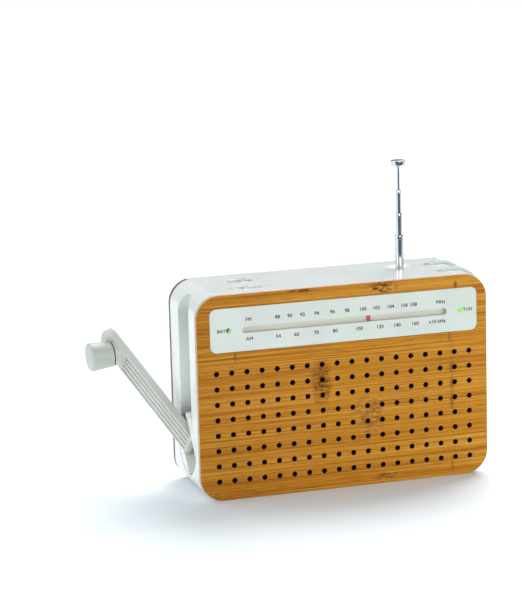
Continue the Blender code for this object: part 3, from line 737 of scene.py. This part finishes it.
def make_casing(materials):
    """The belt, with its channel, pockets, slots and dish, and every edge slightly soft."""
    y0 = PANEL_HIGH.y + SEAM
    y1 = REAR_LOW.y - SEAM
    outline = rounded_rectangle(-SIDE, SIDE, 0, HEIGHT, CORNER, 28)
    casing = loose("casing_shell", prism("Y", outline, y0, y1))

    inner = rounded_rectangle(-SIDE + WALL, SIDE - WALL, WALL, HEIGHT - WALL, CORNER - WALL, 28)
    cavity = loose("cavity", prism("Y", inner, y0 - 10, y1 + 10))
    antenna_xy = (ANTENNA.x, ANTENNA.y)
    blocks = [box(*corners) for corners in THICK_PLACES]
    screws = [middle_mm(name) for name in SCREWS]
    blocks += [cylinder("Y", (screw.x, screw.z), POST_R, 21.6, 30, 32) for screw in screws]
    combine(cavity, [(block, None) for block in blocks])
    hollow = casing.modifiers.new("hollow", "BOOLEAN")
    hollow.object = cavity
    bake(casing, [cavity])

    half = CHANNEL_W / 2
    channel = arc((SPIN_AT.y, CHANNEL_TOP), half, 0, 180, 40)
    channel += [(SPIN_AT.y - half, SPIN_AT.z), (SPIN_AT.y + half, SPIN_AT.z)]
    hub_yz = (SPIN_AT.y, SPIN_AT.z)
    stored = Matrix.Translation((FOLD_AT.x, FOLD_AT.y, FOLD_AT.z + KNOB_AT))
    stored = stored @ Matrix.Rotation(-KNOB_TILT, 4, "Y")
    tools = [
        (prism("X", channel, LEFT_OF_ALL, CHANNEL_FLOOR), None),
        (cylinder("X", hub_yz, POCKET_R, LEFT_OF_ALL, POCKET_FLOOR, 96), None),
        (cylinder("X", hub_yz, HUB_BORE_R, -92, -80, 48), None),
        (cylinder("X", (0, 0), KNOB_POCKET_R, -1.0, 22.8, 64), stored),
    ]
    for name in ("power", "band"):
        middle = middle_mm(f"{name}_switch_body")
        x0 = middle.x - RECESS_L / 2
        x1 = middle.x + RECESS_L / 2
        size = (x0, x1, middle.y - RECESS_W / 2, middle.y + RECESS_W / 2)
        recess = rounded_rectangle(*size, 2.0, 8)
        tools.append((prism("Z", recess, HEIGHT - RECESS_DEPTH, OVER_ALL), None))
        track = box((x0 + 1.0, middle.y - 1.5, 120), (x1 - 1.0, middle.y + 1.5, 136))
        tools.append((track, None))
    curve = (DISH_R**2 + DISH_DEPTH**2) / (2 * DISH_DEPTH)
    dish = [(HEIGHT - DISH_DEPTH, 0)]
    for step in range(1, 13):
        radius = DISH_R * step / 12
        dish.append((HEIGHT - DISH_DEPTH + curve - math.sqrt(curve**2 - radius**2), radius))
    dish += [(OVER_ALL, DISH_R), (OVER_ALL, 0)]
    tools.append((turned("Z", antenna_xy, dish, 72), None))
    tools.append((cylinder("Z", antenna_xy, SLEEVE_BORE_R, 120, 136, 48), None))
    for name in ("tuning_turn", "volume_turn"):
        at = joint_place(name)
        tools.append((cylinder("Y", (at.x, at.z), WHEEL_SLOT_R, at.y - 4.0, at.y + 4.0, 128), None))
    for screw in screws:
        tools.append((cylinder("Y", (screw.x, screw.z), PILOT_R, 22.4, 40, 24), None))
    combine(casing, tools)
    soften(casing, 0.28, 2)
    finish(casing, materials["casing_plastic"], "case", "casing_plastic", "casing")


def give_rim(panel, material, low_y, high_y):
    """Puts the rim's material on the faces round the outside, between the two flat faces."""
    panel.data.materials.append(material)
    index = len(panel.data.materials) - 1
    for face in panel.data.polygons:
        x, y, z = face.center / MM
        outside = min(SIDE - abs(x), z, HEIGHT - z) < RIM_REACH
        corner_x = max(abs(x) - (SIDE - CORNER), 0)
        corner_z = max(CORNER - z, z - (HEIGHT - CORNER), 0)
        round_corner = math.hypot(corner_x, corner_z) > CORNER - RIM_REACH
        if (outside or round_corner) and low_y + RIM_MARGIN < y < high_y - RIM_MARGIN:
            face.material_index = index


def paint_top_light(panel, material):
    """Puts a paler material on the part of the rim that faces up: painted light."""
    rim = len(panel.data.materials) - 1
    panel.data.materials.append(material)
    for face in panel.data.polygons:
        if face.material_index == rim and face.normal.z > 0.97:
            face.material_index = rim + 1


def paint_hole_shade(panel, material):
    """Puts black painted shade on the walls of the grille holes, where they look dark inside."""
    panel.data.materials.append(material)
    index = len(panel.data.materials) - 1
    over_holes = HOLE_LOW_Z + (HOLE_ROWS - 0.5) * PITCH
    for face in panel.data.polygons:
        x, y, z = face.center / MM
        column = round(x / PITCH + (HOLE_COLUMNS - 1) / 2)
        row = round((z - HOLE_LOW_Z) / PITCH)
        away_x = x - (column - (HOLE_COLUMNS - 1) / 2) * PITCH
        away_z = z - HOLE_LOW_Z - row * PITCH
        in_hole = math.hypot(away_x, away_z) < HOLE_R + 0.02 and z < over_holes
        if in_hole and y > PANEL_LOW.y + 0.10:
            face.material_index = index


def make_panels(materials):
    """The front panel with its window and grille, and the rear one with its screw seats."""
    outer = rectangle_outline(-SIDE, SIDE, 0, HEIGHT, CORNER, 28)
    plate_low, plate_high = box_mm("dial_plate")
    size = (plate_low.x - GAP, plate_high.x + GAP, plate_low.z - GAP, plate_high.z + GAP)
    holes = [(rectangle_outline(*size, PLATE_CORNER, 12), WINDOW_RIM)]
    for column in range(HOLE_COLUMNS):
        for row in range(HOLE_ROWS):
            place_xz = ((column - (HOLE_COLUMNS - 1) / 2) * PITCH, HOLE_LOW_Z + row * PITCH)
            holes.append((circle_outline(place_xz, HOLE_R, 28), HOLE_RIM))
    front = loose("front_bamboo", plate(outer, holes, PANEL_LOW.y, PANEL_HIGH.y, PANEL_RIM))
    finish(front, materials["bamboo"], "case", "bamboo", "front_panel")
    give_rim(front, materials["bamboo_rim"], PANEL_LOW.y, PANEL_HIGH.y)
    # Black painted shade inside the grille holes
    paint_hole_shade(front, materials["hole_painted_shade"])

    screws = [middle_mm(name) for name in SCREWS]
    holes = [(circle_outline((at.x, at.z), SCREW_SEAT_R, 40), HOLE_RIM) for at in screws]
    rear = loose("rear_bamboo", plate(outer, holes, REAR_LOW.y, REAR_HIGH.y, PANEL_RIM))
    low = REAR_LOW.y + HOLE_RIM
    high = REAR_HIGH.y - SCREW_SEAT_DEPTH
    wide = SCREW_SEAT_R + 0.1
    ring = ((low, 1.7), (low, wide), (high, wide), (high, 1.7))
    seats = [(turned("Y", (at.x, at.z), ring, 40, closed=True), None) for at in screws]
    combine(rear, seats, "UNION")
    finish(rear, materials["bamboo_rear"], "case", "bamboo", "rear_panel")
    # The rear rim is dark all round as painted shade, and pale on top as painted light
    give_rim(rear, materials["rear_rim_painted_shade"], REAR_LOW.y, REAR_HIGH.y)
    paint_top_light(rear, materials["rear_rim_painted_light"])


def make_screws(materials):
    """Pan-head screws with a cross recess."""
    for name in SCREWS:
        low, high = box_mm(name)
        middle = (low + high) / 2
        seat = REAR_HIGH.y - SCREW_SEAT_DEPTH + GAP
        top = high.y
        profile = [(low.y, 0), (low.y + 1.0, 1.2), (seat, 1.2), (seat, SCREW_R)]
        profile += [(top - 0.7, SCREW_R)] + rounded((top - 0.7, SCREW_R), (top, 1.9))[1:]
        profile.append((top, 0))
        screw = loose(f"{name}_head", turned("Y", (middle.x, middle.z), profile, 40))
        cross = []
        for wide, tall in ((3.0, 0.7), (0.7, 3.0)):
            low_corner = (middle.x - wide / 2, top - 0.8, middle.z - tall / 2)
            high_corner = (middle.x + wide / 2, top + 1, middle.z + tall / 2)
            cross.append((box(low_corner, high_corner), None))
        combine(screw, cross)
        finish(screw, materials["steel"], "case", "steel", name)


# ---------------------------------------------------------------- dial

TOP_LABELS = (
    ("FM", -63.1),
    ("88", -43.9),
    ("90", -35.8),
    ("92", -27.3),
    ("94", -17.9),
    ("96", -7.3),
    ("98", 2.4),
    ("100", 13.1),
    ("102", 22.2),
    ("104", 31.8),
    ("106", 41.2),
    ("108", 47.3),
    ("MHz", 66.0),
)
LOW_LABELS = (
    ("AM", -62.7),
    ("54", -43.6),
    ("60", -31.5),
    ("70", -18.3),
    ("80", -5.7),
    ("100", 10.4),
    ("120", 24.5),
    ("140", 36.1),
    ("160", 48.4),
    ("x10 kHz", 63.5),
)
SIDE_LABELS = (("BAT", -81.0), ("TUN", 84.5))
# A lamp's bright colour, dark colour and glow
LED_GLOWS = {
    "battery_led": ((0.30, 0.85, 0.10), (0.002, 0.05, 0.002), 0.22),
    "tuning_led": ((0.25, 0.90, 0.06), (0.22, 0.80, 0.06), 0.45),
}
TOP_ROW = 6.6  # height of each row's middle over the slot's
LOW_ROW = -5.9
SIDE_ROW = 0.3
CAP_HEIGHT = 2.2
SIDE_HEIGHT = 2.05
CONTROL_HEIGHT = 1.7
CONTROL_LABEL_OUT = 13.0  # from a switch's middle to its label's
STROKE = 0.02  # how far each letter's outline is grown at size 1
CAP_OF_FONT = 0.69  # height of a capital in the built-in font at size 1
LETTER_SPACING = 1.05


def lettering(name, labels, height, matrix_of, material, slot):
    """Printed labels as one thin solid. matrix_of places a label that lies in X and Y."""
    joined = bmesh.new()
    for text, *where in labels:
        curve = bpy.data.curves.new(name, "FONT")
        curve.body = text
        curve.size = 1.0
        curve.align_x = "CENTER"
        curve.align_y = "CENTER"
        curve.space_character = LETTER_SPACING
        curve.extrude = 0.02
        curve.offset = 0.0 if "M" in text else STROKE
        curve.resolution_u = 3
        holder = bpy.data.objects.new(name, curve)
        bpy.context.scene.collection.objects.link(holder)
        bpy.context.view_layer.update()
        graph = bpy.context.evaluated_depsgraph_get()
        data = bpy.data.meshes.new_from_object(holder.evaluated_get(graph))
        bpy.data.objects.remove(holder, do_unlink=True)
        heights = [vertex.co.y for vertex in data.vertices]
        middle = (max(heights) + min(heights)) / 2
        scale = height / CAP_OF_FONT
        data.transform(Matrix.Scale(scale, 4) @ Matrix.Translation((0, -middle, 0)))
        data.transform(matrix_of(*where))
        joined.from_mesh(data)
        if "M" in text:
            data.transform(Matrix.Translation((STROKE * 2 * scale, 0, 0)))
            joined.from_mesh(data)
        bpy.data.meshes.remove(data)
    bmesh.ops.remove_doubles(joined, verts=joined.verts, dist=0.0005)
    print_piece = loose(name, joined)
    return finish(print_piece, material, "case", slot)


def make_dial(materials):
    """The dial plate with its slot and print, and the two lamps behind it."""
    low, high = box_mm("dial_plate")
    grow = GAP - SEAM
    size = (low.x - grow, high.x + grow, low.z - grow, high.z + grow)
    outer = rectangle_outline(*size, PLATE_CORNER, 12)
    half = SLOT_H / 2
    slot_size = (*SLOT_X, SLOT_Z - half, SLOT_Z + half)
    holes = [(rectangle_outline(*slot_size, half - 0.01, 12), PLATE_HOLE_RIM)]
    for name in ("battery_led", "tuning_led"):
        led = middle_mm(name)
        holes.append((circle_outline((led.x, led.z), LED_HOLE_R, 32), PLATE_HOLE_RIM))
    front = loose("dial_face", plate(outer, holes, low.y, high.y, PLATE_RIM, 3))
    finish(front, materials["dial_plastic"], "case", "dial_plastic", "dial_plate")

    def on_plate(x, z):
        flat = Matrix.Rotation(math.pi / 2, 4, "X")
        return Matrix.Translation((x, low.y, z)) @ flat

    rows = [(text, x, SLOT_Z + TOP_ROW) for text, x in TOP_LABELS]
    rows += [(text, x, SLOT_Z + LOW_ROW) for text, x in LOW_LABELS]
    lettering("dial_print", rows, CAP_HEIGHT, on_plate, materials["ink"], "dial_plastic")
    rows = [(text, x, SLOT_Z + SIDE_ROW) for text, x in SIDE_LABELS]
    lettering("lamp_print", rows, SIDE_HEIGHT, on_plate, materials["ink"], "dial_plastic")

    back = high.y + GAP
    for name, (bright, dark, glow) in LED_GLOWS.items():
        led_low, led_high = box_mm(name)
        middle = middle_mm(name)
        tip = led_low.y
        dome = [(tip, 0), (tip + 0.08, 0.6), (tip + 0.3, 1.1), (tip + 0.75, 1.4)]
        dome += [(tip + 1.3, LED_R), (back, LED_R), (back, LED_COLLAR_R)]
        dome += [(led_high.y, LED_COLLAR_R), (led_high.y, 0)]
        lamp = loose(f"{name}_lens", turned("Y", (middle.x, middle.z), dome, 40))
        glass = lens(f"{name}_glow", bright, dark, glow, middle.x * MM)
        finish(lamp, glass, "case", "green_lens", name)


# ---------------------------------------------------------------- controls on top


def make_switches(materials):
    """Slide knobs with three grip ridges, and their stems."""
    for name in ("power", "band"):
        node_name = f"{name}_switch_knob"
        low, high = box_mm(node_name)
        x, y, _ = middle_mm(node_name)
        floor = HEIGHT - RECESS_DEPTH
        outline = rounded_rectangle(x - 2.0, x + 2.0, y - 3.3, y + 3.3, 1.9, 12)
        knob = loose(f"{name}_slider", prism("Z", outline, floor + GAP, high.z - 0.35))
        bars = []
        for ridge in RIDGE_X:
            bar_low = (x + ridge - 0.28, y - 2.4, high.z - 1.0)
            bar_high = (x + ridge + 0.28, y + 2.4, high.z)
            bars.append((box(bar_low, bar_high), None))
        stem = box((x - 1.1, y - 1.1, low.z), (x + 1.1, y + 1.1, floor + 1))
        combine(knob, bars + [(stem, None)], "UNION")
        soften(knob, 0.16, 2)
        plastic = materials["control_plastic"]
        finish(knob, plastic, f"{name}_slider", "control_plastic", node_name)


def make_wheels(materials):
    """Knurled thumbwheels with a dished face and a stub shaft."""
    for name, body, other in (("tuning", "tuner", -1), ("volume", "volume", 1)):
        at = Matrix.Translation(joint_place(f"{name}_turn"))
        low, high = box_mm(f"{name}_wheel")
        tip = (high.x - low.x) / 2
        outline = toothed_outline(WHEEL_TEETH, tip - KNURL_DEPTH, tip, *KNURL_SHARES)
        wheel = loose(f"{name}_thumbwheel", prism("Y", outline, -WHEEL_HALF, WHEEL_HALF), at)
        face = -other * WHEEL_HALF
        profile = sorted(((face, 12.5), (face * 0.8, 12.0), (face * 1.4, 12.5)))
        combine(wheel, [(turned("Y", (0, 0), profile, 64), at)])
        ends = sorted((other * (WHEEL_HALF - 1), other * (WHEEL_HALF + 4.0)))
        combine(wheel, [(cylinder("Y", (0, 0), STUB_R, *ends, 32), at)], "UNION")
        soften(wheel, 0.14, 2)
        finish(wheel, materials["control_plastic"], body, "control_plastic", f"{name}_wheel")


def make_top_print(materials):
    """Plain labels beside the switches: off and on, and the two bands."""

    def on_top(x, y):
        return Matrix.Translation((x, y, HEIGHT))

    labels = []
    for name, left, right in (("power", "OFF", "ON"), ("band", "AM", "FM")):
        x, y, _ = middle_mm(f"{name}_switch_body")
        labels += [(left, x - CONTROL_LABEL_OUT, y), (right, x + CONTROL_LABEL_OUT, y)]
    ink = materials["faint_ink"]
    lettering("control_print", labels, CONTROL_HEIGHT, on_top, ink, "casing_plastic")


# ---------------------------------------------------------------- antenna


def make_antenna(materials):
    """Three tubes with a groove near the top, the rod and its button."""
    center = (ANTENNA.x, ANTENNA.y)
    for number, bore in ANTENNA_BORES.items():
        node_name = f"antenna_section_{number}"
        low, high = box_mm(node_name)
        radius = (high.x - low.x) / 2
        top = high.z
        profile = [
            (low.z, radius),
            (top - 2.6, radius),
            (top - 2.4, radius - 0.12),
            (top - 2.1, radius - 0.12),
            (top - 1.9, radius),
            (top - 0.5, radius),
            (top - 0.15, radius - 0.08),
            (top, radius - 0.25),
            (top, bore),
            (low.z, bore),
        ]
        tube = loose(f"antenna_tube_{number}", turned("Z", center, profile, 48, closed=True))
        finish(tube, materials["chrome"], f"antenna_{number}", "chrome", node_name)
    low, high = box_mm("antenna_rod")
    radius = (high.x - low.x) / 2
    profile = [(low.z, 0), (low.z, radius), (high.z, radius), (high.z, 0)]
    rod = loose("antenna_mast", turned("Z", center, profile, 32))
    finish(rod, materials["chrome"], "antenna_tip", "chrome", "antenna_rod")
    rod_top = high.z
    low, high = box_mm("antenna_cap")
    wide = (high.x - low.x) / 2
    profile = [(high.z, 0), (high.z, wide - 0.9)]
    profile += arc((high.z - 0.45, wide - 0.45), 0.45, 0, 90, 4)
    profile += [(high.z - 2.8, wide), (high.z - 3.1, wide - 0.15)]
    profile += [(high.z - 3.25, wide - 0.5), (low.z + 0.9, 2.3), (low.z + 0.5, 1.7), (low.z, 1.5)]
    profile += [(low.z, radius + GAP), (rod_top + GAP, radius + GAP), (rod_top + GAP, 0)]
    cap = loose("antenna_button", turned("Z", center, profile, 56))
    finish(cap, materials["chrome"], "antenna_tip", "chrome", "antenna_cap")


# ---------------------------------------------------------------- crank


def crank_frames():
    """The frames of the hub, the arm and the knob at rest, in millimetres."""
    spin = Matrix.Translation((0, SPIN_AT.y, SPIN_AT.z)) @ Matrix.Rotation(SPIN, 4, "X")
    arm = spin @ Matrix.Translation((FOLD_AT.x, 0, 0)) @ Matrix.Rotation(SWING, 4, "Y")
    knob = arm @ Matrix.Translation((0, 0, KNOB_AT)) @ Matrix.Rotation(KNOB_TILT, 4, "Y")
    return spin, arm, knob


def make_hub(materials, spin):
    """A disc with a bevelled rim and a shaft, slotted across for the arm."""
    low, _ = box_mm("crank_hub")
    face = low.x
    back = POCKET_FLOOR - GAP
    profile = [(face, 0), (face, HUB_FACE_R), (face + 0.8, HUB_R), (back, HUB_R)]
    profile += [(back, SHAFT_R), (SHAFT_END, SHAFT_R), (SHAFT_END, 0)]
    hub = loose("hub_disc", turned("X", (0, 0), profile, 128), spin)
    half = ARM_W / 2 + 0.8
    slot = box((LEFT_OF_ALL, -half, -25), (ARM_SLOT_FLOOR, half, 25))
    bore = cylinder("Y", (FOLD_AT.x, 0), HINGE_BORE_R, -25, 25, 32)
    combine(hub, [(slot, spin), (bore, spin)])
    soften(hub, 0.2, 2)
    # The crank's plastic made lighter: painted light
    finish(hub, materials["crank_plastic_painted_light"], "crank", "crank_plastic", "crank_hub")


def arm_blank():
    """The arm as cross-sections along Z, rounded at the hinge and at the tip."""
    half_t = ARM_T / 2
    half_w = ARM_W / 2
    sections = []
    for angle in range(0, 91, 6):
        turn = math.radians(angle)
        sections.append((-half_t * math.cos(turn), max(half_t * math.sin(turn), 0.25), half_w))
    tip = ARM_L - ARM_TIP_R
    for angle in range(0, 91, 6):
        turn = math.radians(angle)
        narrow = half_w - ARM_TIP_R * (1 - math.cos(turn))
        sections.append((tip + ARM_TIP_R * math.sin(turn), half_t, narrow))
    rings = []
    for z, hx, hy in sections:
        rings.append([(-hx, -hy, z), (hx, -hy, z), (hx, hy, z), (-hx, hy, z)])
    return loft(rings)


def boss_blank():
    """The knob's boss: a tilted cylinder that starts on a plane inside the arm."""
    turn = Matrix.Rotation(KNOB_TILT, 3, "Y")
    along = turn @ Vector((-1, 0, 0))
    ends = []
    for y, z in circle((0, 0), BOSS_R, 64):
        ends.append(turn @ Vector((-BOSS_END, y, z)) + Vector((0, 0, KNOB_AT)))
    starts = [end - along * ((end.x + 1.5) / along.x) for end in ends]
    return loft([starts, ends])


def groove(offset):
    """A groove along the arm, with a round bottom."""
    half = GROOVE_W / 2
    center = GROOVE_DEPTH - ARM_T / 2 - half
    outline = [(offset - half, -6.0), (offset + half, -6.0)]
    outline += arc((offset, center), half, 0, 180, 12)
    return loft([[(x, y, z) for y, x in outline] for z in GROOVE_Z])


def make_arm(materials, arm_frame, knob_frame):
    """The arm with its grooves, its boss, and bores for the two pins."""
    arm = loose("fold_arm", arm_blank(), arm_frame)
    cuts = [(groove(offset), arm_frame) for offset in GROOVE_Y]
    cuts.append((cylinder("X", (0, 0), 9.7, -26, -BOSS_END - 0.4, 72), knob_frame))
    combine(arm, cuts)
    combine(arm, [(boss_blank(), arm_frame)], "UNION")
    bores = [
        (cylinder("X", (0, 0), KNOB_BORE_R, -10, -1.2, 32), knob_frame),
        (cylinder("Y", (0, 0), HINGE_BORE_R, -15, 15, 32), arm_frame),
    ]
    combine(arm, bores)
    soften(arm, 0.3, 3)
    finish(arm, materials["crank_plastic"], "arm", "crank_plastic", "crank_arm")


def make_knob(materials, knob_frame):
    """A tapered grip with a soft end and a blind bore. Its base is crisp against the boss."""
    tip = -KNOB_END
    base = -BOSS_END
    bore_end = tip + 3.5
    profile = [(tip, 0), (tip, 7.9), (tip + 0.12, 8.35), (tip + 0.5, 8.8), (tip + 1.0, 9.08)]
    profile += [(tip + 1.7, 9.2), (base - 1.3, 8.3), (base - 1.0, 8.2), (base - 0.8, 8.0)]
    profile += [(base - 0.8, KNOB_BORE_R), (bore_end, KNOB_BORE_R), (bore_end, 0)]
    knob = loose("grip_knob", turned("X", (0, 0), profile, 96), knob_frame)
    # The crank's plastic made darker: painted shade
    finish(knob, materials["crank_plastic_painted_shade"], "knob", "crank_plastic", "crank_knob")


# ---------------------------------------------------------------- inside


def make_cloth(materials):
    """The woven cloth stretched behind the grille, a thin sheet with a slight waviness."""
    low, high = box_mm("speaker_cloth")
    columns, rows = CLOTH_CELLS
    mesh = bmesh.new()
    layers = []
    for y in (low.y + 0.1, low.y + 0.3):
        grid = []
        for row in range(rows + 1):
            line = []
            for column in range(columns + 1):
                x = low.x + (high.x - low.x) * column / columns
                z = low.z + (high.z - low.z) * row / rows
                wave = 0.08 * math.sin(x * 0.21) * math.sin(z * 0.33)
                line.append(mesh.verts.new((x, y + wave, z)))
            grid.append(line)
        layers.append(grid)
    for grid in layers:
        for below, above in zip(grid, grid[1:]):
            for i in range(columns):
                mesh.faces.new((below[i], below[i + 1], above[i + 1], above[i]))
    rims = []
    for grid in layers:
        rim = list(grid[0])
        rim += [grid[row][columns] for row in range(1, rows + 1)]
        rim += [grid[rows][column] for column in range(columns - 1, -1, -1)]
        rim += [grid[row][0] for row in range(rows - 1, 0, -1)]
        rims.append(rim)
    for i in range(len(rims[0])):
        j = (i + 1) % len(rims[0])
        mesh.faces.new((rims[0][i], rims[0][j], rims[1][j], rims[1][i]))
    cloth = loose("grille_cloth", mesh)
    finish(cloth, materials["black_cloth"], "case", "black_cloth", "speaker_cloth")


def dress_cad_nodes(materials):
    """Gives each CAD node that stays in view its slot's material."""
    slots = {row["node"]: row["material_slot"] for row in frame["record"]["subparts"]}
    for name, obj in frame["nodes"].items():
        if obj.hide_render:
            continue
        obj.data.materials.clear()
        obj.data.materials.append(materials[slots[name]])


# ---------------------------------------------------------------- studio


def make_studio():
    """The surround, the floor and the soft lights. The chrome mirrors the floor's dark front."""
    world = bpy.data.worlds.new("studio")
    bpy.context.scene.world = world
    world.use_nodes = True
    background = world.node_tree.nodes["Background"]
    background.inputs["Color"].default_value = WORLD_COLOR
    background.inputs["Strength"].default_value = WORLD_STRENGTH

    mesh = bmesh.new()
    bmesh.ops.create_grid(mesh, x_segments=2, y_segments=2, size=12000)
    floor = loose("floor", mesh)
    floor.location.z = -0.0001
    made, tree, shader = new_material("floor", FLOOR_PALE, 0.8, 0.0, 0.0)
    depth = object_xyz(tree)[1]
    fade = map_range(tree, depth, FLOOR_FADE, interpolation_type="SMOOTHSTEP")
    stops = ((0.0, FLOOR_DARK), (1.0, FLOOR_PALE))
    feed(shader, "Base Color", ramp(tree, fade, stops))
    floor.data.materials.append(made)

    for name, kind, at, size, power, color in LIGHTS:
        data = bpy.data.lights.new(name, kind)
        data.energy = power
        data.color = color
        if kind == "SUN":
            data.angle = math.radians(size)
        else:
            data.shape = "DISK"
            data.size = size
        light = bpy.data.objects.new(name, data)
        light.location = at
        light.rotation_mode = "QUATERNION"
        aim = LIGHT_TARGET - Vector(at)
        light.rotation_quaternion = aim.to_track_quat("-Z", "Y")
        bpy.context.scene.collection.objects.link(light)


def make_camera():
    data = bpy.data.cameras.new("camera")
    data.lens = CAMERA_LENS
    data.clip_start = 0.05
    data.clip_end = 60
    camera = bpy.data.objects.new("camera", data)
    bpy.context.scene.collection.objects.link(camera)
    turn = Matrix.Rotation(math.radians(CAMERA_AZIMUTH), 4, "Z")
    turn = turn @ Matrix.Rotation(math.radians(90 - CAMERA_ELEVATION), 4, "X")
    turn = turn @ Matrix.Rotation(math.radians(CAMERA_ROLL), 4, "Z")
    camera.matrix_world = Matrix.Translation(CAMERA_PLACE) @ turn
    bpy.context.scene.camera = camera


def main():
    make_camera()
    bpy.context.scene.view_settings.view_transform = "Standard"
    make_studio()
    materials = make_materials()
    make_casing(materials)
    make_panels(materials)
    make_screws(materials)
    make_dial(materials)
    make_switches(materials)
    make_wheels(materials)
    make_top_print(materials)
    make_antenna(materials)
    spin_frame, arm_frame, knob_frame = crank_frames()
    make_hub(materials, spin_frame)
    make_arm(materials, arm_frame, knob_frame)
    make_knob(materials, knob_frame)
    make_cloth(materials)
    dress_cad_nodes(materials)


main()
